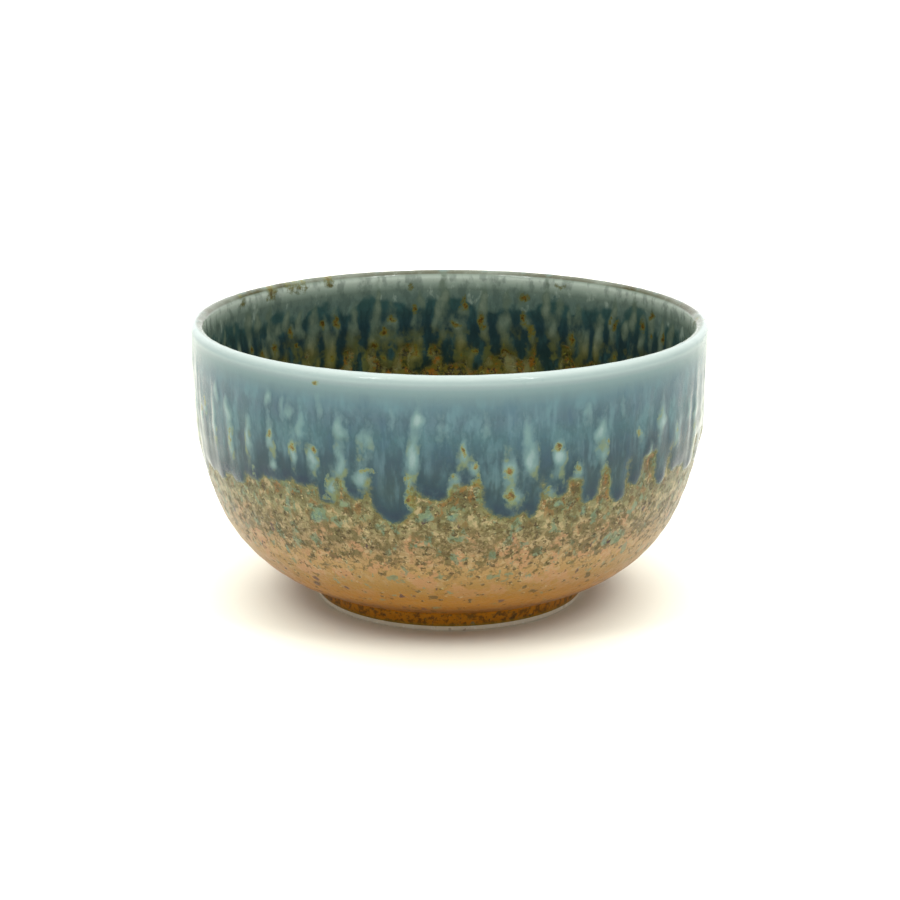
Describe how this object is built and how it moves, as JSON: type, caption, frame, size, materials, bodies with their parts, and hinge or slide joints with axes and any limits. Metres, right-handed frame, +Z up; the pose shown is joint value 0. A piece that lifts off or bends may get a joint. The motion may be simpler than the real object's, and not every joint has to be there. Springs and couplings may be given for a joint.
{
  "type": "matcha bowl",
  "caption": "Small round-bottomed stoneware tea bowl on a low foot ring, with a runny blue glaze dipped over a speckled amber one.",
  "frame": {"origin": "on the ground at the centre of the foot ring", "axes": "+Z up along the bowl's axis; -Y towards the side that faces the viewer; +X to the viewer's right"},
  "size_m": [0.12, 0.12, 0.066],
  "materials": {
    "stoneware": "bare fired clay, matt, slightly gritty",
    "blue_glaze": "glossy grey-blue glaze with pale streaks and dark drips",
    "speckled_glaze": "glossy tan to amber glaze, speckled with brown and teal",
    "well_glaze": "glossy dark olive glaze, finely speckled"
  },
  "bodies": {
    "root": {"clay_body": "stoneware", "foot_ring": "stoneware", "rim_blue_glaze": "blue_glaze", "outer_speckled_glaze": "speckled_glaze", "well_speckled_glaze": "well_glaze", "underside_glaze": "speckled_glaze"}
  },
  "joints": []
}
